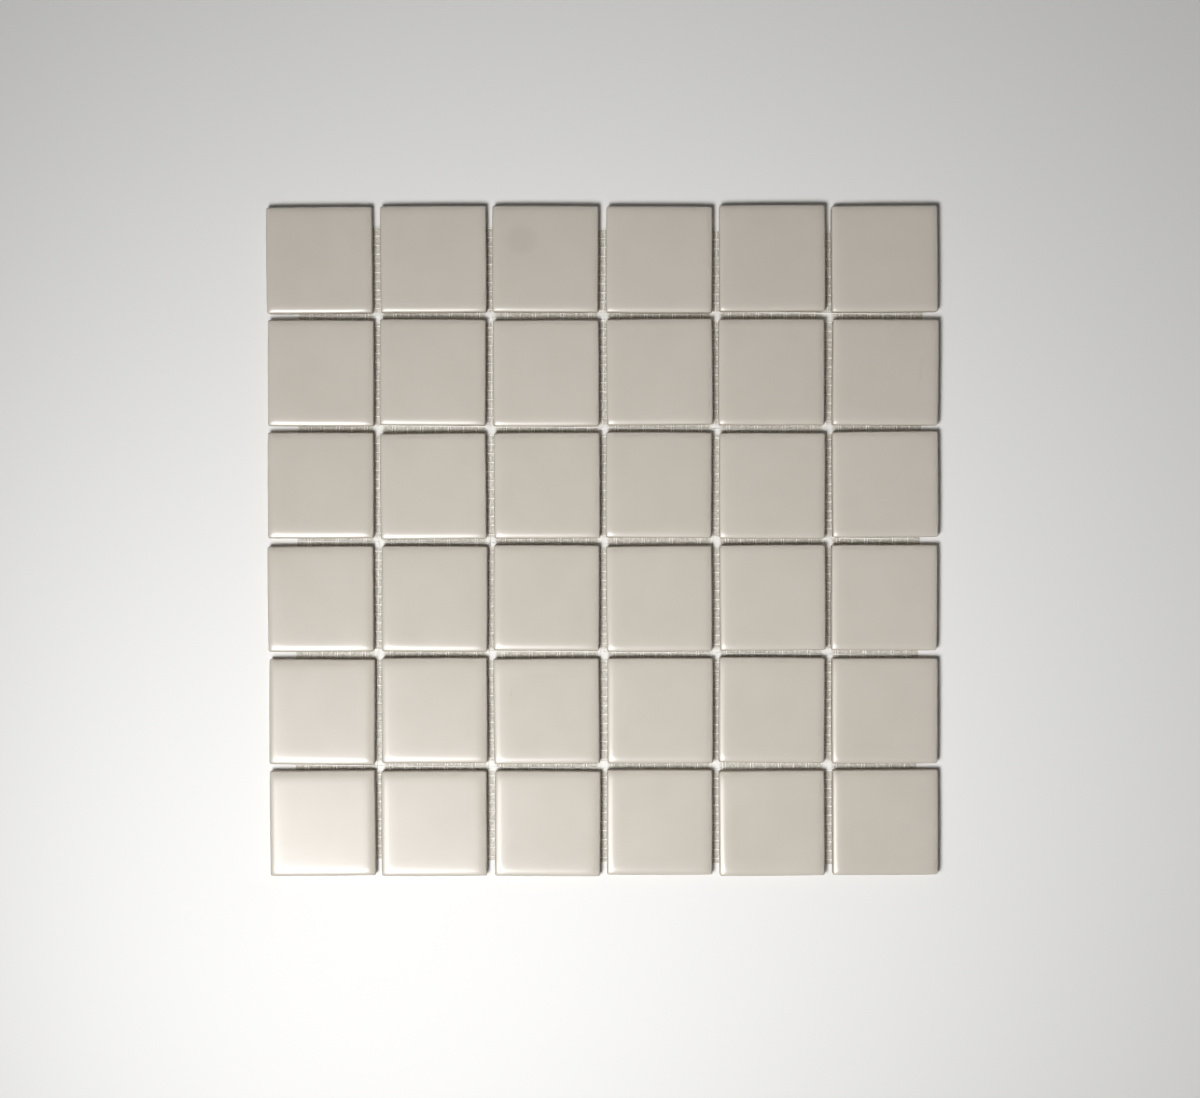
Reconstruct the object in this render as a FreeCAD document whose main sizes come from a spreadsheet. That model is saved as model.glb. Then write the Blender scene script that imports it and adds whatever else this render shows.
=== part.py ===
import FreeCAD, Part
import Sketcher
import math
import os

# A net-backed sheet of mosaic: pressed and glazed square tiles, face up, held at
# even joints by an open net glued to their backs. Millimetres and degrees, +Z up,
# the origin on the floor under the middle of the sheet, +X along the tile rows.

doc = FreeCAD.newDocument("mosaic_tile_sheet")

DIMENSIONS = {
    # the tile field
    "tile_rows": 6,
    "tile_columns": 6,
    "tile_side": 48.0,
    "joint_width": 3.0,
    # one tile: back to face, the small round of the rim, the shoulder that eases the
    # face down to it, the plan corners and the walls' lean in towards the back
    "tile_thickness": 5.5,
    "rim_radius": 0.75,
    "shoulder_width": 4.0,
    "shoulder_drop": 0.6,
    "corner_radius": 1.5,
    "wall_draft": 2.0,
    # the keying grooves pressed into each back, with ribs between them and a land around
    "groove_count": 5,
    "groove_depth": 0.4,
    "rib_width": 3.5,
    "back_land": 4.0,
    # how far a tile lands from its true place and angle when it is set
    "setting_wander": 0.28,
    "setting_turn": 0.4,
    # the backing net: how far inside the tile field it is cut, how far it is turned
    # clockwise and its weave set up from its middle, its cut ends, its yarns
    "net_inset_left": 12.5,
    "net_inset_right": 7.5,
    "net_inset_top": 9.5,
    "net_inset_bottom": 5.5,
    "net_turn": 0.73,
    "weave_set_up": 0.75,
    "cut_end": 1.0,
    "yarn_thickness": 0.25,
    "weft_spacing": 4.08,
    "weft_width": 0.5,
    "warp_spacing": 6.33,
    "warp_width": 0.5,
    "warp_pair_width": 1.6,
}

# A quarter round, on a rim or in plan, is drawn as this many flats.
ROUND_FLATS = 3

# The shoulder is drawn as this many flats, and falls away as this power of the distance.
SHOULDER_FLATS = 3
SHOULDER_POWER = 3

# The least rounding of a plan corner, as a share of its rounding at the walls.
LEAST_ROUNDING = 0.3

# Steps of the golden angle, in degrees, scatter the tiles' small faults evenly.
GOLDEN_ANGLE = 137.5

# The share of a tile's volume that rounding may take or add.
VOLUME_SLACK = 1e-6

sizes = doc.addObject("Spreadsheet::Sheet", "sizes")
for line, (name, value) in enumerate(DIMENSIONS.items(), start=1):
    sizes.set(f"A{line}", name)
    sizes.set(f"B{line}", str(value))
    sizes.setAlias(f"B{line}", name)
doc.recompute()


def size(name):
    """A driving dimension as the sheet holds it."""
    return float(sizes.get(name))


def count(name):
    return int(sizes.get(name))


def bind(thing, **expressions):
    """Tie properties of an object to the sheet; a double underscore stands for a dot."""
    for name, expression in expressions.items():
        thing.setExpression(name.replace("__", "."), expression)


# The tile blank: a square block with a small round along its rim and round its plan
# corners, and a face that eases down to the rim over a low shoulder.


def flats_of_quarter_round(radius):
    """The corners of the flats that wrap a quarter round: (across, along) from its centre."""
    step = math.pi / 2 / (ROUND_FLATS + 1)
    reach = radius / math.cos(step / 2)
    angles = [step * (k + 0.5) for k in range(ROUND_FLATS + 1)]
    return [(reach * math.cos(a), reach * math.sin(a)) for a in angles]


def tile_outline(inset, height):
    """The tile's outline at one height, drawn in from its widest by inset."""
    radius = max(size("corner_radius") - inset, LEAST_ROUNDING * size("corner_radius"))
    corner_centre = size("tile_side") / 2 - inset - radius
    points = []
    for quarter in range(4):
        turn = FreeCAD.Rotation(FreeCAD.Vector(0, 0, 1), 90.0 * quarter)
        for across, along in flats_of_quarter_round(radius):
            point = FreeCAD.Vector(corner_centre + across, corner_centre + along, height)
            points.append(turn.multVec(point))
    return points


def face_profile():
    """How the face meets the wall: (inset, height) of each fold from the wall inwards."""
    rim = size("rim_radius")
    width = size("shoulder_width")
    folds = [(rim - out, rim - up) for out, up in flats_of_quarter_round(rim)]
    step = (width - rim) / SHOULDER_FLATS
    folds += [(rim + k * step, 0.0) for k in range(1, SHOULDER_FLATS + 1)]
    profile = []
    for inset, drop in folds:
        shoulder = size("shoulder_drop") * (1 - inset / width) ** SHOULDER_POWER
        profile.append((inset, size("tile_thickness") - drop - shoulder))
    return profile


def tile_blank_shape():
    profile = face_profile()
    lean = profile[0][1] * math.tan(math.radians(size("wall_draft")))
    outlines = [tile_outline(inset, height) for inset, height in [(lean, 0.0)] + profile]
    faces = [Part.Face(Part.makePolygon(ring + ring[:1])) for ring in (outlines[0], outlines[-1])]
    for low, high in zip(outlines, outlines[1:]):
        for k in range(len(low)):
            flat = [low[k - 1], low[k], high[k], high[k - 1], low[k - 1]]
            faces.append(Part.Face(Part.makePolygon(flat)))
    return Part.Solid(Part.Shell(faces))


tile_blank = doc.addObject("Part::Feature", "tile_blank")
tile_blank.Shape = tile_blank_shape()


# The keying grooves, side by side on the tile's back.

GROOVE_LENGTH = "(sizes.tile_side - 2 * sizes.back_land)"
RIBS = "(sizes.groove_count - 1) * sizes.rib_width"
GROOVE_WIDTH = f"(({GROOVE_LENGTH} - {RIBS}) / sizes.groove_count)"

grooves = []
for number in range(count("groove_count")):
    groove = doc.addObject("Part::Box", f"keying_groove_{number + 1}")
    bind(
        groove,
        Length=GROOVE_WIDTH,
        Width=GROOVE_LENGTH,
        Height="sizes.groove_depth",
        Placement__Base__x=f"{number} * ({GROOVE_WIDTH} + sizes.rib_width) - {GROOVE_LENGTH} / 2",
        Placement__Base__y=f"-{GROOVE_LENGTH} / 2",
    )
    grooves.append(groove)
keying_grooves = doc.addObject("Part::Compound", "keying_grooves")
keying_grooves.Links = grooves


# The tiles: each a blank less its keying grooves, set on the net at its own place.


PITCH = "(sizes.tile_side + sizes.joint_width)"


def add_tile(row, column):
    """The tile of one place: row 1 is the far row, column 1 the left one."""
    label = f"tile_r{row}_c{column}"
    tile = doc.addObject("Part::Cut", label)
    tile.Label = label
    tile.Base = tile_blank
    tile.Tool = keying_grooves
    across = f"({column} - (sizes.tile_columns + 1) / 2) * {PITCH}"
    up = f"((sizes.tile_rows + 1) / 2 - {row}) * {PITCH}"
    scatter = f"{GOLDEN_ANGLE} * ({row} * sizes.tile_columns + {column})"
    bind(
        tile,
        Placement__Base__x=f"{across} + sizes.setting_wander * cos({scatter})",
        Placement__Base__y=f"{up} + sizes.setting_wander * sin({scatter})",
        Placement__Base__z="2 * sizes.yarn_thickness",
        Placement__Rotation__Angle=f"sizes.setting_turn * sin(2 * {scatter})",
    )
    return tile


tiles = []
for row in range(1, count("tile_rows") + 1):
    for column in range(1, count("tile_columns") + 1):
        tiles.append(add_tile(row, column))
nodes = list(tiles)


# The backing net: glass yarns laid in two layers, the wefts below and across the
# sheet, the warps on them and up it, by turns a flat pair and a single yarn.

# How constraints name a line's ends, and the sketch's own origin.
START = 1
END = START + 1
SKETCH_ORIGIN = (-1, START)


def draw_bar(sketch, left_of_middle, below_middle, across, up):
    """A rectangle, by how far its low left corner is from the middle and by its sides."""
    corners = [FreeCAD.Vector(x, y, 0) for x, y in ((-2, -2), (-1, -2), (-1, -1), (-2, -1))]
    base = sketch.GeometryCount
    side = base + 1
    for k in range(4):
        sketch.addGeometry(Part.LineSegment(corners[k], corners[(k + 1) % 4]))
    for k in range(4):
        line, after = base + k, base + (k + 1) % 4
        sketch.addConstraint(Sketcher.Constraint("Coincident", line, END, after, START))
        way = "Horizontal" if k % 2 == 0 else "Vertical"
        sketch.addConstraint(Sketcher.Constraint(way, line))
    lengths = [
        (Sketcher.Constraint("DistanceX", base, START, *SKETCH_ORIGIN, 2), left_of_middle),
        (Sketcher.Constraint("DistanceY", base, START, *SKETCH_ORIGIN, 2), below_middle),
        (Sketcher.Constraint("DistanceX", base, START, base, END, 1), across),
        (Sketcher.Constraint("DistanceY", side, START, side, END, 1), up),
    ]
    for constraint, expression in lengths:
        number = sketch.addConstraint(constraint)
        sketch.setExpression(f"Constraints[{number}]", expression)


def add_yarns(label, bars, repeat, repeats, along, level):
    """One layer of the net: the bars that repeat, padded a yarn thick and patterned."""
    body = doc.addObject("PartDesign::Body", label)
    body.Label = label
    body.AllowCompound = True
    sketch = body.newObject("Sketcher::SketchObject", f"{label}_outline")
    floor = next(part for part in body.Origin.OriginFeatures if part.Role == "XY_Plane")
    sketch.AttachmentSupport = [(floor, "")]
    sketch.MapMode = "FlatFace"
    for bar in bars:
        draw_bar(sketch, *bar)
    doc.recompute()
    pad = body.newObject("PartDesign::Pad", f"{label}_pad")
    pad.Profile = sketch
    bind(pad, Length="sizes.yarn_thickness")
    doc.recompute()
    pattern = body.newObject("PartDesign::LinearPattern", f"{label}_pattern")
    pattern.Originals = [pad]
    pattern.Direction = (sketch, [along])
    bind(pattern, Occurrences=repeats, Length=f"({repeats} - 1) * {repeat}")
    body.Tip = pattern
    bind(
        body,
        Placement__Base__x="(sizes.net_inset_left - sizes.net_inset_right) / 2",
        Placement__Base__y="(sizes.net_inset_bottom - sizes.net_inset_top) / 2",
        Placement__Base__z=level,
        Placement__Rotation__Angle="-sizes.net_turn",
    )
    return body


FIELD_WIDTH = f"(sizes.tile_columns * {PITCH} - sizes.joint_width)"
FIELD_LENGTH = f"(sizes.tile_rows * {PITCH} - sizes.joint_width)"
NET_WIDTH = f"({FIELD_WIDTH} - sizes.net_inset_left - sizes.net_inset_right)"
NET_LENGTH = f"({FIELD_LENGTH} - sizes.net_inset_top - sizes.net_inset_bottom)"

weft_count = f"(floor(({NET_LENGTH} - 2 * sizes.cut_end) / sizes.weft_spacing) + 1)"
weft_span = f"({weft_count} - 1) * sizes.weft_spacing"
weft = (
    f"{NET_WIDTH} / 2",
    f"({weft_span} + sizes.weft_width) / 2 - sizes.weave_set_up",
    NET_WIDTH,
    "sizes.weft_width",
)
weft_yarns = add_yarns("net_weft_yarns", [weft], "sizes.weft_spacing", weft_count, "V_Axis", "0")

warp_repeat = "(2 * sizes.warp_spacing)"
warp_room = f"({NET_WIDTH} - 2 * sizes.cut_end - sizes.warp_spacing)"
warp_repeats = f"(floor({warp_room} / {warp_repeat}) + 1)"
warp_reach = f"(({warp_repeats} - 1) * {warp_repeat} + sizes.warp_spacing) / 2"
warp_pair = (
    f"{warp_reach} + sizes.warp_pair_width / 2",
    f"{NET_LENGTH} / 2",
    "sizes.warp_pair_width",
    NET_LENGTH,
)
single_warp = (
    f"{warp_reach} - sizes.warp_spacing + sizes.warp_width / 2",
    f"{NET_LENGTH} / 2",
    "sizes.warp_width",
    NET_LENGTH,
)
warp_yarns = add_yarns(
    "net_warp_yarns",
    [warp_pair, single_warp],
    warp_repeat,
    warp_repeats,
    "H_Axis",
    "sizes.yarn_thickness",
)
nodes += [weft_yarns, warp_yarns]
doc.recompute()


# Nothing is written unless every object and every piece is sound.


def check_model():
    failed = [o.Label for o in doc.Objects if {"Invalid", "Error"} & set(o.State)]
    if failed:
        raise RuntimeError(f"these objects failed: {failed}")
    for node in nodes:
        if node.Shape.isNull() or not node.Shape.isValid():
            raise RuntimeError(f"{node.Label} has no sound shape")
    blank = tile_blank.Shape.Volume
    cut_away = keying_grooves.Shape.Volume
    for tile in tiles:
        if abs(blank - cut_away - tile.Shape.Volume) > VOLUME_SLACK * blank:
            raise RuntimeError(f"{tile.Label} is not cut as its grooves say")


check_model()
os.makedirs("parts", exist_ok=True)
for node in nodes:
    node.Shape.exportStep(f"parts/{node.Label}.step")
print(f"wrote {len(nodes)} nodes")
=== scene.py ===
import cmath
import math

import bmesh
import bpy
from mathutils import Matrix, Vector, noise


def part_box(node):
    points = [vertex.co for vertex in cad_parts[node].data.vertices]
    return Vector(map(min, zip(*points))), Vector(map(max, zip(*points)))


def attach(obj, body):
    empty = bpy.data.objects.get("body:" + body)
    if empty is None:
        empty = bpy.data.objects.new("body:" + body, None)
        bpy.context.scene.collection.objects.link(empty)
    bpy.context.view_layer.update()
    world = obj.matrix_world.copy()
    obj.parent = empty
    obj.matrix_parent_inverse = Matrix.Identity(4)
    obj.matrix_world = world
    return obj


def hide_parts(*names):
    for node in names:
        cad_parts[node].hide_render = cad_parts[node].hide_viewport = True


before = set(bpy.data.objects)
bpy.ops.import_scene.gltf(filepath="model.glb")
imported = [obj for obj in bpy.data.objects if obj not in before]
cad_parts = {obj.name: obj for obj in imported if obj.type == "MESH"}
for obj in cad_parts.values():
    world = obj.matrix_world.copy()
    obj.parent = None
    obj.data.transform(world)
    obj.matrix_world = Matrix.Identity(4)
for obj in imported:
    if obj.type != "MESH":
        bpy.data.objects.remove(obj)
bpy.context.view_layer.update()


# Weft yarns of the backing net: flat glass yarns across the sheet, about 4 mm apart.
# They lie straight in the middle of the weave, stiffened by the white resin that the
# finished net is dipped in, and the tile backs are glued to them.

MM = 0.001
NET_THICKNESS = 0.5 * MM
NET_MIDDLE = NET_THICKNESS / 2
SOLID_WEFT_MIDDLE = NET_THICKNESS / 4
WEFT_THICKNESS = 0.2 * MM
WEFT_SIDES = 8
WEFT_STEPS = 56
WEFT_WANDER = 0.11 * MM
WEFT_WAVES_PER_METRE = 40
WEFT_LANE = 2 * MM
WEFT_LANE_APART = 7.1
MERGE_DISTANCE = 0.01 * MM


def bars_of(node, axis):
    """The bars in a node of the net, each as its two ends and its width."""
    bars = bmesh.new()
    bars.from_mesh(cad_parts[node].data)
    bmesh.ops.remove_doubles(bars, verts=bars.verts, dist=MERGE_DISTANCE)
    found, seen = [], set()
    for start in bars.verts:
        if start in seen:
            continue
        corners, to_visit = [], [start]
        while to_visit:
            corner = to_visit.pop()
            if corner not in seen:
                seen.add(corner)
                corners.append(corner.co.copy())
                to_visit += [edge.other_vert(corner) for edge in corner.link_edges]
        corners.sort(key=lambda corner: corner[axis])
        near, far = corners[:4], corners[4:]
        width = max((a.xy - b.xy).length for a in near for b in near)
        found.append((sum(near, Vector()) / 4, sum(far, Vector()) / 4, width))
    bars.free()
    return sorted(found, key=lambda bar: bar[0][1 - axis])


def straight_yarn(length, width, thickness, sides, steps):
    """A flat oval yarn along X from the origin, ringed at every step of its length."""
    yarn = bmesh.new()
    bmesh.ops.create_cone(
        yarn, cap_ends=True, segments=sides, radius1=0.5, radius2=0.5, depth=length,
        matrix=Matrix.Translation((length / 2, 0, 0)) @ Matrix.Rotation(math.pi / 2, 4, "Y"),
    )
    bmesh.ops.scale(yarn, vec=(1, width, thickness), verts=yarn.verts)
    lengthwise = [e for e in yarn.edges if abs(e.verts[0].co.x - e.verts[1].co.x) > length / 2]
    bmesh.ops.subdivide_edges(yarn, edges=lengthwise, cuts=steps - 1, use_grid_fill=True)
    return yarn


def add_copy(whole, piece, matrix):
    """Lays a copy of one yarn into the whole net."""
    laid = bpy.data.meshes.new("laid")
    piece.to_mesh(laid)
    laid.transform(matrix)
    whole.from_mesh(laid)
    bpy.data.meshes.remove(laid)


def lay_along(start, end):
    """The matrix that turns the X axis to run from start towards end."""
    run = end - start
    return Matrix.Translation(start) @ Matrix.Rotation(math.atan2(run.y, run.x), 4, "Z")


def finish_piece(name, shape, material, replaced):
    """Makes a finished shape a piece of the part that stands for a solid of the frame."""
    mesh = bpy.data.meshes.new(name)
    for face in shape.faces:
        face.smooth = True
    shape.to_mesh(mesh)
    shape.free()
    mesh.materials.append(material)
    piece = bpy.data.objects.new(name, mesh)
    bpy.context.scene.collection.objects.link(piece)
    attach(piece, "root")
    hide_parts(replaced)
    return piece


class Shade:
    """What a socket gives at each point of a surface; maths on it adds Math nodes."""

    def __init__(self, tree, socket):
        self.tree, self.socket = tree, socket

    @classmethod
    def node(cls, tree, kind, settings=None, sockets=None, output=0):
        made = tree.nodes.new(kind)
        for name, value in (settings or {}).items():
            setattr(made, name, value)
        for name, value in (sockets or {}).items():
            if isinstance(value, Shade):
                tree.links.new(value.socket, made.inputs[name])
            else:
                made.inputs[name].default_value = value
        return cls(tree, made.outputs[output])

    def maths(self, operation, first, second):
        settings, sockets = {"operation": operation}, {0: first, 1: second}
        return Shade.node(self.tree, "ShaderNodeMath", settings, sockets)

    def __add__(self, other):
        return self.maths("ADD", self, other)

    def __sub__(self, other):
        return self.maths("SUBTRACT", self, other)

    def __rsub__(self, other):
        return self.maths("SUBTRACT", other, self)

    def __mul__(self, other):
        return self.maths("MULTIPLY", self, other)

    __radd__, __rmul__ = __add__, __mul__

    def between(self, low, high):
        """0 below low, 1 above high, and smooth from one to the other."""
        settings = {"interpolation_type": "SMOOTHSTEP"}
        sockets = {"Value": self, "From Min": low, "From Max": high}
        return Shade.node(self.tree, "ShaderNodeMapRange", settings, sockets)

    def blend(self, first, second):
        """The first colour where this is 0 and the second where it is 1."""
        sockets = {0: self, 6: first, 7: second}
        return Shade.node(self.tree, "ShaderNodeMix", {"data_type": "RGBA"}, sockets, output=2)


def new_finish(name):
    """An empty material, its node tree, its shader and the place of each point in metres."""
    material = bpy.data.materials.new(name)
    material.use_nodes = True
    tree = material.node_tree
    shader = tree.nodes["Principled BSDF"]
    place = Shade.node(tree, "ShaderNodeTexCoord", output=3)
    return material, tree, shader, place


def noise_at(place, scale, detail, roughness):
    """A cloudy noise round 0.5; a larger scale makes it finer."""
    sockets = {"Vector": place, "Scale": scale, "Detail": detail, "Roughness": roughness}
    return Shade.node(place.tree, "ShaderNodeTexNoise", None, sockets)


def bumps(height, strength, depth):
    """The normals of a surface that is rough by the height given."""
    sockets = {"Height": height, "Strength": strength, "Distance": depth}
    return Shade.node(height.tree, "ShaderNodeBump", None, sockets)


FIBRES_ALONG_PER_METRE = 900.0
FIBRES_ACROSS_PER_METRE = 14000.0
FIBRE_DEPTH = 0.08 * MM
FIBRE_TONES = (0.30, 0.62)
YARN_ROUGHNESS = 0.5
YARN_IOR = 1.48
YARN_WHITE = (0.94, 0.93, 0.90, 1.0)
YARN_SHADOW = (0.78, 0.76, 0.72, 1.0)


def glass_yarn_finish(name, stretch):
    """Resin-dipped glass yarn: fine fibres along it, a duller tone down between them."""
    material, tree, shader, place = new_finish(name)
    along = Shade.node(tree, "ShaderNodeMapping", None, {"Vector": place, "Scale": stretch})
    fibres = noise_at(along, scale=1.0, detail=3.0, roughness=0.6)
    colour = fibres.between(*FIBRE_TONES).blend(YARN_SHADOW, YARN_WHITE)
    bump = bumps(fibres, strength=0.6, depth=FIBRE_DEPTH)
    tree.links.new(colour.socket, shader.inputs["Base Color"])
    tree.links.new(bump.socket, shader.inputs["Normal"])
    shader.inputs["Roughness"].default_value = YARN_ROUGHNESS
    shader.inputs["IOR"].default_value = YARN_IOR
    return material


wefts = bmesh.new()
for start, end, width in bars_of("net_weft_yarns", 0):
    yarn = straight_yarn((end - start).length, width, WEFT_THICKNESS, WEFT_SIDES, WEFT_STEPS)
    add_copy(wefts, yarn, lay_along(start, end))
    yarn.free()
for vert in wefts.verts:
    lane = round(vert.co.y / WEFT_LANE) * WEFT_LANE_APART
    wander = noise.noise(Vector((vert.co.x * WEFT_WAVES_PER_METRE, lane, 0)))
    vert.co.y += WEFT_WANDER * wander
    vert.co.z += NET_MIDDLE - SOLID_WEFT_MIDDLE
weft_finish = glass_yarn_finish(
    "glass_yarn_across",
    (FIBRES_ALONG_PER_METRE, FIBRES_ACROSS_PER_METRE, FIBRES_ACROSS_PER_METRE),
)
finish_piece("net_wefts", wefts, weft_finish, "net_weft_yarns")


# Warp yarns of the backing net: thin glass yarns up the sheet, about 6.3 mm apart, by
# turns a pair twisted to one line and a pair spread flat. At each weft one yarn of a
# pair passes above and one below, and they change places before the next.

WEFT_SPACING = 4.08 * MM
WARP_THICKNESS = 0.15 * MM
WARP_SIDES = 6
WARP_STEPS_A_WEFT = 4
WARP_REACH = (NET_THICKNESS - WARP_THICKNESS) / 2
TWISTED_YARN_WIDTH = 0.26 * MM
TWISTED_SPREAD = 0.12 * MM
FLAT_YARN_WIDTH = 0.50 * MM
BROADEST_SINGLE = 1.0 * MM


def woven_yarn(length, width, first_weft, side, spread):
    """A warp yarn along X that swings above and below the wefts as it goes."""
    steps = round(length / WEFT_SPACING * WARP_STEPS_A_WEFT)
    yarn = straight_yarn(length, width, WARP_THICKNESS, WARP_SIDES, steps)
    for vert in yarn.verts:
        swing = math.pi * (vert.co.x - first_weft) / WEFT_SPACING
        vert.co.y += side * spread * math.sin(swing)
        vert.co.z += side * WARP_REACH * math.cos(swing)
    return yarn


weft_start, weft_end, _ = bars_of("net_weft_yarns", 0)[0]
twisted, spread_flat = bmesh.new(), bmesh.new()
for start, end, width in bars_of("net_warp_yarns", 1):
    share = (start.x - weft_start.x) / (weft_end.x - weft_start.x)
    first_weft = weft_start.y + share * (weft_end.y - weft_start.y) - start.y
    length = (end - start).length
    matrix = Matrix.Translation((0, 0, NET_MIDDLE - start.z)) @ lay_along(start, end)
    for side in (-1, 1):
        if width < BROADEST_SINGLE:
            yarn = woven_yarn(length, TWISTED_YARN_WIDTH, first_weft, side, TWISTED_SPREAD)
            add_copy(twisted, yarn, matrix)
        else:
            yarn = woven_yarn(length, FLAT_YARN_WIDTH, first_weft, side, 0.0)
            apart = Matrix.Translation((0, side * (width - FLAT_YARN_WIDTH) / 2, 0))
            add_copy(spread_flat, yarn, matrix @ apart)
        yarn.free()
warp_finish = glass_yarn_finish(
    "glass_yarn_up",
    (FIBRES_ACROSS_PER_METRE, FIBRES_ALONG_PER_METRE, FIBRES_ACROSS_PER_METRE),
)
finish_piece("net_warps_twisted", twisted, warp_finish, "net_warp_yarns")
finish_piece("net_warps_flat", spread_flat, warp_finish, "net_warp_yarns")


# Glue film: the glue that bonds the net to the tile backs has run out into the joints
# and dried there as a thin, dull, blotchy skin round the yarns, up to the net's cut edges.
# Where four tiles meet it is painted near white with light, for the open crossing that light
# reaches.

TILE_PITCH = 51.0 * MM
JOINTS = (-2, -1, 0, 1, 2)
FILM_REACH = 2.15 * MM
FILM_WANDER = 0.30 * MM
FILM_WAVES_PER_METRE = 300
FILM_LEVEL = 0.06 * MM
FILM_THICKNESS = 0.08 * MM
FILM_CUTS = 8
CREASE = math.radians(35)


def cut_film(film, place, across, **settings):
    """Cuts the film along an upright plane through a place."""
    bmesh.ops.bisect_plane(
        film, geom=film.verts[:] + film.edges[:] + film.faces[:],
        plane_co=place, plane_no=across, **settings,
    )


def film_wander(place, layer):
    """How far the film's edge strays at a place, from one layer of the noise."""
    return FILM_WANDER * noise.noise(place * FILM_WAVES_PER_METRE + Vector((0, 0, layer)))


def mark_creases(shape):
    """Keeps the sharp edges of a shape crisp and shades the rest smoothly."""
    for edge in shape.edges:
        edge.smooth = edge.calc_face_angle(0.0) < CREASE


def glue_film():
    """A lattice of skin under the joints, as far as the net reaches."""
    film = bmesh.new()
    bmesh.ops.create_grid(film, x_segments=1, y_segments=1, size=3 * TILE_PITCH)
    for across in (Vector((1, 0, 0)), Vector((0, 1, 0))):
        for joint in JOINTS:
            for side in (-1, 1):
                cut_film(film, across * (joint * TILE_PITCH + side * FILM_REACH), across)
    under_tiles = []
    for face in film.faces:
        middle = face.calc_center_median()
        if all(abs(math.remainder(way, TILE_PITCH)) > FILM_REACH for way in middle.xy):
            under_tiles.append(face)
    bmesh.ops.delete(film, geom=under_tiles, context="FACES")
    for start, end, _ in (bars_of("net_weft_yarns", 0)[0], bars_of("net_warp_yarns", 1)[0]):
        along = (end - start).normalized()
        cut_film(film, start, -along, clear_outer=True)
        cut_film(film, end, along, clear_outer=True)
    bmesh.ops.subdivide_edges(film, edges=film.edges[:], cuts=FILM_CUTS, use_grid_fill=True)
    for vert in film.verts:
        if vert.is_boundary:
            vert.co.x += film_wander(vert.co, 0)
            vert.co.y += film_wander(vert.co, 9)
        vert.co.z = FILM_LEVEL
    bmesh.ops.solidify(film, geom=film.faces[:], thickness=-FILM_THICKNESS)
    bmesh.ops.recalc_face_normals(film, faces=film.faces[:])
    mark_creases(film)
    return film


GLUE_BLOTCHES_PER_METRE = 900.0
BLOTCH_TONES = (0.35, 0.65)
CROSSING_REACH = 1.4 * MM
CROSSING_END = 3.2 * MM
GLUE_ROUGHNESS = 0.45
GLUE = (0.655, 0.63, 0.565, 1.0)
GLUE_THIN = (0.435, 0.41, 0.36, 1.0)
GLUE_PAINTED_LIGHT_AT_CROSSINGS = (0.82, 0.81, 0.78, 1.0)


def glue_finish():
    """Dried glue: blotchy where it is thin, and painted near white with light where four tiles
    meet.
    """
    material, tree, shader, place = new_finish("dried_glue")
    blotches = noise_at(place, GLUE_BLOTCHES_PER_METRE, detail=3.0, roughness=0.6)
    colour = blotches.between(*BLOTCH_TONES).blend(GLUE_THIN, GLUE)
    x, y = (
        Shade.node(tree, "ShaderNodeSeparateXYZ", None, {"Vector": place}, output=axis)
        for axis in (0, 1)
    )
    east, north = (way.maths("PINGPONG", way, TILE_PITCH / 2) for way in (x, y))
    from_crossing = east.maths("MAXIMUM", east, north)
    # Painted light: near the crossings of the joints the glue is lightened to near white,
    # where light reaches the open floor.
    crossing_light = 1 - from_crossing.between(CROSSING_REACH, CROSSING_END)
    colour = crossing_light.blend(colour, GLUE_PAINTED_LIGHT_AT_CROSSINGS)
    tree.links.new(colour.socket, shader.inputs["Base Color"])
    shader.inputs["Roughness"].default_value = GLUE_ROUGHNESS
    return material


finish_piece("net_glue_film", glue_film(), glue_finish(), "net_weft_yarns")


# Tiles: 36 pressed and fired ceramic tiles, six rows of six, laid face up on the net.
# The die gives each a cushioned rim and a ribbed back; the satin greige glaze is sprayed
# on face and rim and stops part of the way down the walls. A brown band of painted shade
# runs round the steep edge of the rim.

TILE_SIDE = 48.0 * MM
TILE_THICKNESS = 5.5 * MM
TILE_BED = 0.5 * MM
CORNER_RADIUS = 0.85 * MM
CORNER_STEPS = 6
RIM_RADIUS = 0.7 * MM
RIM_STEPS = 6
FOOT_BEVEL = 0.35 * MM
FOOT_STEPS = 2
FACING_DOWN = -0.99
GROOVE_EDGES = (2.6 * MM, 6.1 * MM, 11.3 * MM, 14.8 * MM, 20.0 * MM)
GROOVE_DEPTH = 0.4 * MM
GROOVE_SLOPE = 0.35 * MM
CUTS_FROM_EDGE = (1.0 * MM, 1.3 * MM, 1.7 * MM, 2.2 * MM, 2.9 * MM, 4.0 * MM, 6.2 * MM)
CUTS_OVER_FACE = (0.0, 8.7 * MM)


def round_off(tile, edges, size, steps):
    """Rounds some edges of a tile."""
    bmesh.ops.bevel(
        tile, geom=edges, offset=size, segments=steps, profile=0.5, affect="EDGES", material=-1
    )


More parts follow.
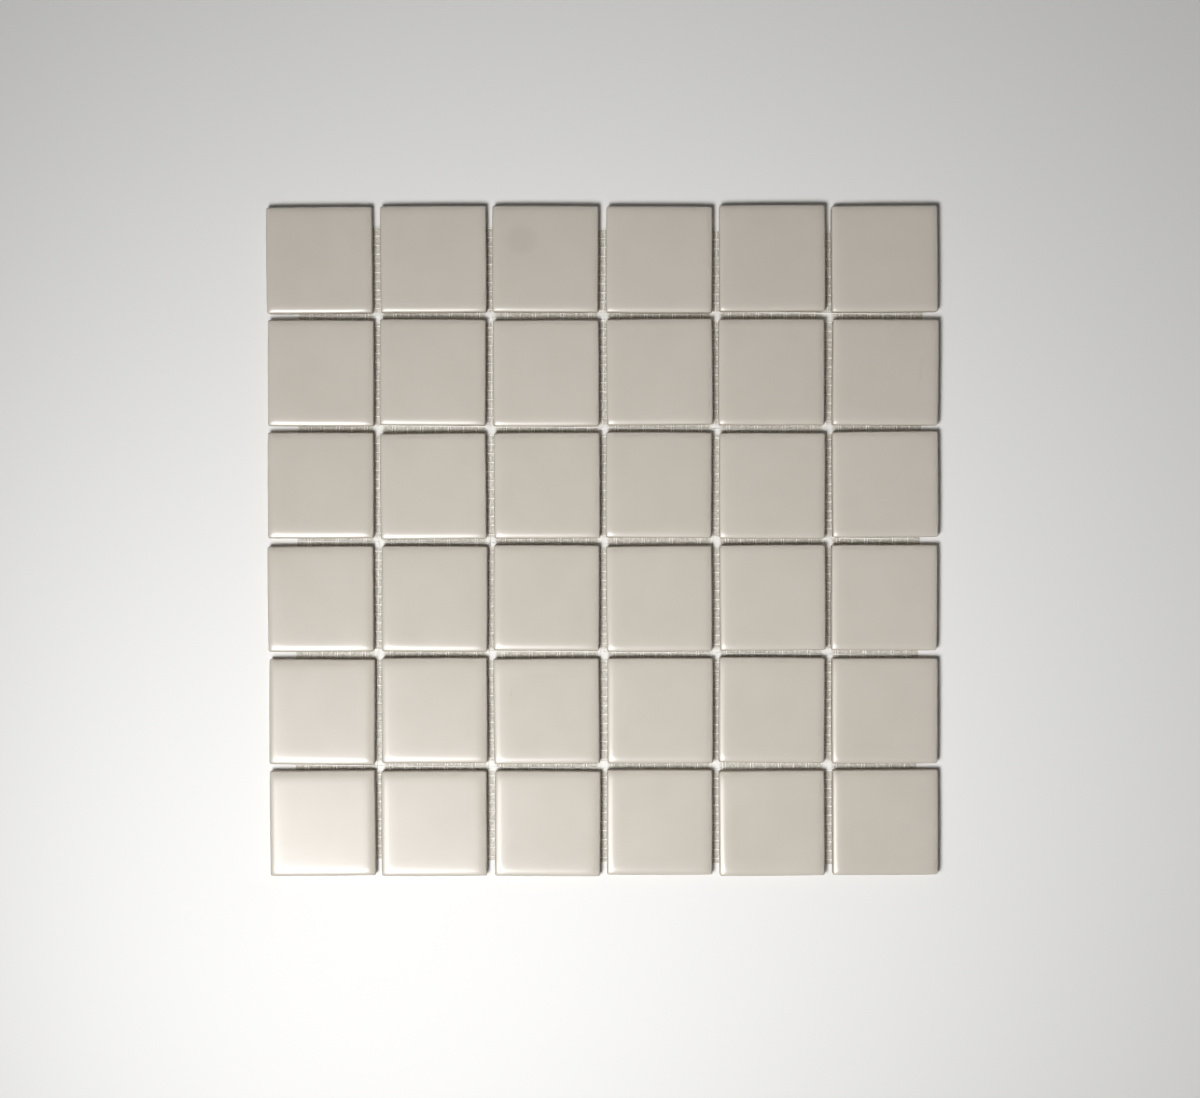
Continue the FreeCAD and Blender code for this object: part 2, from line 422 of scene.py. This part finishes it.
def pressed_tile():
    """One tile with its back on the floor and its middle over the origin."""
    tile = bmesh.new()
    bmesh.ops.create_cube(tile, size=1.0)
    bmesh.ops.translate(tile, vec=(0, 0, 0.5), verts=tile.verts)
    bmesh.ops.scale(tile, vec=(TILE_SIDE, TILE_SIDE, TILE_THICKNESS), verts=tile.verts)
    uprights = [e for e in tile.edges if abs(e.verts[0].co.z - e.verts[1].co.z) > RIM_RADIUS]
    round_off(tile, uprights, CORNER_RADIUS, CORNER_STEPS)
    rim = [e for e in tile.edges if min(v.co.z for v in e.verts) > TILE_THICKNESS / 2]
    round_off(tile, rim, RIM_RADIUS, RIM_STEPS)
    foot = [e for e in tile.edges if max(v.co.z for v in e.verts) < FOOT_BEVEL]
    round_off(tile, foot, FOOT_BEVEL, FOOT_STEPS)
    cuts = [TILE_SIDE / 2 - inset for inset in CUTS_FROM_EDGE]
    cuts += GROOVE_EDGES + CUTS_OVER_FACE
    for cut in sorted({side * cut for cut in cuts for side in (-1, 1)}):
        for across in (Vector((1, 0, 0)), Vector((0, 1, 0))):
            bmesh.ops.bisect_plane(
                tile, geom=tile.verts[:] + tile.edges[:] + tile.faces[:],
                plane_co=across * cut, plane_no=across,
            )
    bounds = [-e for e in reversed(GROOVE_EDGES)] + list(GROOVE_EDGES)
    grooves = list(zip(bounds[0::2], bounds[1::2]))
    pressed = []
    for face in tile.faces:
        middle = face.calc_center_median()
        if face.normal.z < FACING_DOWN and abs(middle.y) < GROOVE_EDGES[-1]:
            if any(low < middle.x < high for low, high in grooves):
                pressed.append(face)
    bmesh.ops.inset_region(
        tile, faces=pressed, thickness=GROOVE_SLOPE, depth=-GROOVE_DEPTH, use_even_offset=True
    )
    return tile


CUSHION_WIDTH = 6.5 * MM
CUSHION_DROP = 0.9 * MM
CUSHION_POWER = 4.0
CUSHION_SQUARENESS = 18.0
WALL_LEAN = math.tan(math.radians(2.0))
SIDE_BOW = 0.004


def cushion(tile):
    """Domes the face down to its rim, most at the corners, and leans the walls in."""
    half = TILE_SIDE / 2
    wall_top = TILE_THICKNESS - RIM_RADIUS
    for vert in tile.verts:
        x, y, z = vert.co
        if z > wall_top - FOOT_BEVEL:
            reach = abs(x / half) ** CUSHION_SQUARENESS + abs(y / half) ** CUSHION_SQUARENESS
            inside = half * (1 - reach ** (1 / CUSHION_SQUARENESS))
            vert.co.z -= CUSHION_DROP * max(0.0, 1 - inside / CUSHION_WIDTH) ** CUSHION_POWER
        lean = 1 - max(0.0, wall_top - z) * WALL_LEAN / half
        vert.co.x *= lean * (1 - SIDE_BOW * (y / half) ** 2)
        vert.co.y *= lean * (1 - SIDE_BOW * (x / half) ** 2)


OUTLINE_WANDER = 0.03 * MM
FACE_WANDER = 0.018 * MM
OUTLINE_POWER = 8
QUICK_POWER = 4
SLOW_WAVES_PER_METRE = 90
SLOW_BATCH_STEP = 3.7
QUICK_WAVES_PER_METRE = 260
QUICK_BATCH_STEP = 5.3
QUICK_LAYER = 40


def fire(tile, batch):
    """The small faults of one tile: a slightly uneven outline and a gently uneven face."""
    half = TILE_SIDE / 2
    slow_layer = batch * SLOW_BATCH_STEP
    quick_layer = batch * QUICK_BATCH_STEP + QUICK_LAYER
    for vert in tile.verts:
        x, y, z = vert.co
        slow_spot = (x * SLOW_WAVES_PER_METRE, y * SLOW_WAVES_PER_METRE, slow_layer)
        quick_spot = (x * QUICK_WAVES_PER_METRE, y * QUICK_WAVES_PER_METRE, quick_layer)
        slow = noise.noise(Vector(slow_spot))
        quick = noise.noise(Vector(quick_spot))
        outer = max(abs(x), abs(y)) / half
        vert.co.x -= x / half * OUTLINE_WANDER * (1 + slow) * outer ** OUTLINE_POWER
        vert.co.y -= y / half * OUTLINE_WANDER * (1 + slow) * outer ** OUTLINE_POWER
        if z > TILE_THICKNESS / 2:
            vert.co.z -= FACE_WANDER * (2 + slow + quick * outer ** QUICK_POWER) / 2


def place_of(node):
    """How a tile is set: its middle and its turn, read from its solid in the frame."""
    low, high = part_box(node)
    middle = (low + high) / 2
    fourfold = 0
    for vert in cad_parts[node].data.vertices:
        fourfold += complex(vert.co.x - middle.x, vert.co.y - middle.y) ** 4
    turn = cmath.phase(-fourfold) / 4
    return Matrix.Translation((middle.x, middle.y, TILE_BED)) @ Matrix.Rotation(turn, 4, "Z")


CLOUDS_PER_METRE = 55.0
DRIFTS_PER_METRE = 420.0
GRAINS_PER_METRE = 2600.0
SKIN_DEPTH = 0.04 * MM
GLAZE_GRAIN = 0.25
BARE_GRAIN = 1.6
DRIFT_SWELL = 0.5
CLOUD_TONE = 0.55
BATCH_TONE = 0.45
GRAIN_TONE = 0.35
RIM_SHADE_HEIGHTS = (4.0 * MM, 5.3 * MM)
GLAZE_STOPS = (2.1 * MM, 2.3 * MM)
RIM_SHADE_DRIFT = 0.6 * MM
STOP_DRIFT = 1.2 * MM
GLAZE_TONES = (0.15, 0.85)
BODY_TONES = (0.32, 0.60)
GLUED_TONES = (0.50, 0.62)
GLUED_LOSS_PER_METRE = 900
GLAZE_ROUGHNESS = 0.27
CLOUD_ROUGHNESS = 0.06
BARE_ROUGHNESS = 0.45
GLUED_SMOOTHNESS = 0.32
GREIGE = (0.585, 0.538, 0.472, 1.0)
GREIGE_DEEP = (0.543, 0.498, 0.433, 1.0)
GREIGE_SMUDGE = (0.515, 0.472, 0.410, 1.0)
SMUDGE_PLACE = (-36.5 * MM, 135.8 * MM, 6.0 * MM)
SMUDGE_RADII = (3.5 * MM, 9.0 * MM)
RIM_PAINTED_SHADE = (0.400, 0.322, 0.238, 1.0)
FIRED_BODY = (0.420, 0.345, 0.262, 1.0)
FIRED_BODY_DARK = (0.310, 0.248, 0.180, 1.0)
GLUE_ON_BACK = (0.52, 0.48, 0.41, 1.0)
GLAZE_IOR = 1.52


def tile_finish():
    """Satin glaze over face and rim, with painted brown shade at the rim's edge, and the bare
    body below.
    """
    material, tree, shader, place = new_finish("satin_greige_glaze")
    height = Shade.node(tree, "ShaderNodeSeparateXYZ", None, {"Vector": place}, output=2)
    batch = Shade.node(tree, "ShaderNodeAttribute", {"attribute_name": "batch"}, output=2)
    clouds = noise_at(place, CLOUDS_PER_METRE, detail=2.0, roughness=0.5)
    grain = noise_at(place, GRAINS_PER_METRE, detail=2.0, roughness=0.6)
    drift = noise_at(place, DRIFTS_PER_METRE, detail=2.0, roughness=0.5)
    tone = clouds * CLOUD_TONE + batch * BATCH_TONE + (grain - 0.5) * GRAIN_TONE
    glaze = tone.between(*GLAZE_TONES).blend(GREIGE_DEEP, GREIGE)
    from_smudge = Shade.node(
        tree, "ShaderNodeVectorMath", {"operation": "DISTANCE"},
        {0: place, 1: SMUDGE_PLACE}, output=1,
    )
    glaze = (1 - from_smudge.between(*SMUDGE_RADII)).blend(glaze, GREIGE_SMUDGE)
    # Painted shade: a brown band round the steep edge of the rim, between about 4.0 and 5.3 mm
    # up, darkens the rim where shade falls on it.
    rim_shade = 1 - (height + (drift - 0.5) * RIM_SHADE_DRIFT).between(*RIM_SHADE_HEIGHTS)
    glaze = rim_shade.blend(glaze, RIM_PAINTED_SHADE)
    body = grain.between(*BODY_TONES).blend(FIRED_BODY_DARK, FIRED_BODY)
    glued = (drift - (height - TILE_BED) * GLUED_LOSS_PER_METRE).between(*GLUED_TONES)
    body = glued.blend(body, GLUE_ON_BACK)
    bare = 1 - (height + (drift - 0.5) * STOP_DRIFT).between(*GLAZE_STOPS)
    colour = bare.blend(glaze, body)
    roughness = GLAZE_ROUGHNESS + clouds * CLOUD_ROUGHNESS
    roughness = roughness + bare * BARE_ROUGHNESS - bare * glued * GLUED_SMOOTHNESS
    skin = grain * (GLAZE_GRAIN + bare * BARE_GRAIN) + drift * DRIFT_SWELL
    bump = bumps(skin, strength=0.35, depth=SKIN_DEPTH)
    tree.links.new(colour.socket, shader.inputs["Base Color"])
    tree.links.new(roughness.socket, shader.inputs["Roughness"])
    tree.links.new(bump.socket, shader.inputs["Normal"])
    shader.inputs["IOR"].default_value = GLAZE_IOR
    return material


TONE_BATCH_STEP = 1.37
TONE_LAYER = (2.1, 0.4)

satin_glaze = tile_finish()
blank = pressed_tile()
cushion(blank)
tile_nodes = sorted(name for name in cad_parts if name.startswith("tile_"))
for batch, node in enumerate(tile_nodes):
    tile = blank.copy()
    fire(tile, batch)
    tile.transform(place_of(node))
    mark_creases(tile)
    piece = finish_piece(node.replace("tile_", "glazed_tile_"), tile, satin_glaze, node)
    shade = piece.data.attributes.new("batch", "FLOAT", "POINT")
    level = 0.5 + 0.5 * noise.noise(Vector((batch * TONE_BATCH_STEP, *TONE_LAYER)))
    shade.data.foreach_set("value", [level] * len(piece.data.vertices))
blank.free()


# The floor that the sheet lies on: plain, pale and dull. It isn't part of the sheet, and
# far from the sheet it fades into the pale background.

FLOOR_SIZE = 6.0
FADE_START = 0.38
FADE_END = 0.72
BACKGROUND = (1.0, 0.99, 0.975, 1.0)
BACKGROUND_STRENGTH = 0.9
FLOOR_ROUGHNESS = 0.55
FLOOR_COLOUR = (0.84, 0.835, 0.82, 1.0)


def background_rays(tree):
    """1 for the rays that meet the background: the camera's, and those in a gleam or glass."""
    camera, glossy, sent = (
        Shade.node(tree, "ShaderNodeLightPath", output=output) for output in (0, 3, 6)
    )
    return camera + glossy + sent


floor_shape = bmesh.new()
bmesh.ops.create_grid(floor_shape, x_segments=1, y_segments=1, size=FLOOR_SIZE / 2)
floor_mesh = bpy.data.meshes.new("floor")
floor_shape.to_mesh(floor_mesh)
floor_shape.free()
floor_finish, floor_tree, floor_shader, floor_place = new_finish("pale_floor")
floor_shader.inputs["Base Color"].default_value = FLOOR_COLOUR
floor_shader.inputs["Roughness"].default_value = FLOOR_ROUGHNESS
far = Shade.node(
    floor_tree, "ShaderNodeVectorMath", {"operation": "LENGTH"}, {0: floor_place}, output=1
).between(FADE_START, FADE_END)
glow = Shade.node(
    floor_tree, "ShaderNodeEmission", None,
    {"Color": BACKGROUND, "Strength": BACKGROUND_STRENGTH},
)
near_floor = Shade(floor_tree, floor_shader.outputs[0])
faded = Shade.node(
    floor_tree, "ShaderNodeMixShader", None,
    {0: far * background_rays(floor_tree), 1: near_floor, 2: glow},
)
floor_tree.links.new(faded.socket, floor_tree.nodes["Material Output"].inputs["Surface"])
floor_mesh.materials.append(floor_finish)
floor = bpy.data.objects.new("floor", floor_mesh)
bpy.context.scene.collection.objects.link(floor)


# Light: a lamp over the lower left of the sheet gives the shade, two broad windows beyond
# it the gleam along the rims, and a pale even room shows in the glaze.

LAMP_PLACE = Vector((-0.18, -0.21, 0.62))
LAMP_AIM = Vector((0.45, 0.18, 0.0))
LAMP_SIZE = 0.22
LAMP_POWER = 5.2
WINDOW_PLACE = Vector((-0.46, -0.87, 1.35))
WINDOW_SIZE = 0.6
WINDOW_POWER = 28.5
SIDE_WINDOW_PLACE = Vector((-0.64, -0.55, 1.10))
SIDE_WINDOW_SIZE = 0.5
SIDE_WINDOW_POWER = 10.0
ROOM_LIGHT = 0.05


def soft_box(name, place, aim, size, power):
    """A square light that faces the place it is aimed at."""
    light = bpy.data.lights.new(name, "AREA")
    light.shape = "SQUARE"
    light.size = size
    light.energy = power
    box = bpy.data.objects.new(name, light)
    box.location = place
    box.rotation_euler = (aim - place).to_track_quat("-Z", "Y").to_euler()
    bpy.context.scene.collection.objects.link(box)
    return box


lamp = soft_box("lamp", LAMP_PLACE, LAMP_AIM, LAMP_SIZE, LAMP_POWER)
lamp.visible_glossy = False
window = soft_box("window", WINDOW_PLACE, Vector(), WINDOW_SIZE, WINDOW_POWER)
window.visible_diffuse = False
side_window = soft_box(
    "side_window", SIDE_WINDOW_PLACE, Vector(), SIDE_WINDOW_SIZE, SIDE_WINDOW_POWER
)
side_window.visible_diffuse = False

room = bpy.data.worlds.new("room")
room.use_nodes = True
background = room.node_tree.nodes["Background"]
background.inputs["Color"].default_value = BACKGROUND
strength = background_rays(room.node_tree) * (BACKGROUND_STRENGTH - ROOM_LIGHT) + ROOM_LIGHT
room.node_tree.links.new(strength.socket, background.inputs["Strength"])
bpy.context.scene.world = room


# Camera: above the sheet and looking almost straight down on it. It is tilted and turned
# by under a degree, as the outline of the sheet in the photo shows.

CAMERA_PLACE = (-0.00122, 0.00789, 0.706)
CAMERA_TILT = tuple(math.radians(angle) for angle in (-0.906, 0.008, -0.119))
CAMERA_LENS = 46.54
CAMERA_SENSOR = 36.0

camera = bpy.data.cameras.new("camera")
camera.sensor_width = CAMERA_SENSOR
camera.sensor_fit = "HORIZONTAL"
camera.lens = CAMERA_LENS
view = bpy.data.objects.new("camera", camera)
view.location = CAMERA_PLACE
view.rotation_euler = CAMERA_TILT
bpy.context.scene.collection.objects.link(view)
bpy.context.scene.camera = view
bpy.context.scene.view_settings.view_transform = "Standard"
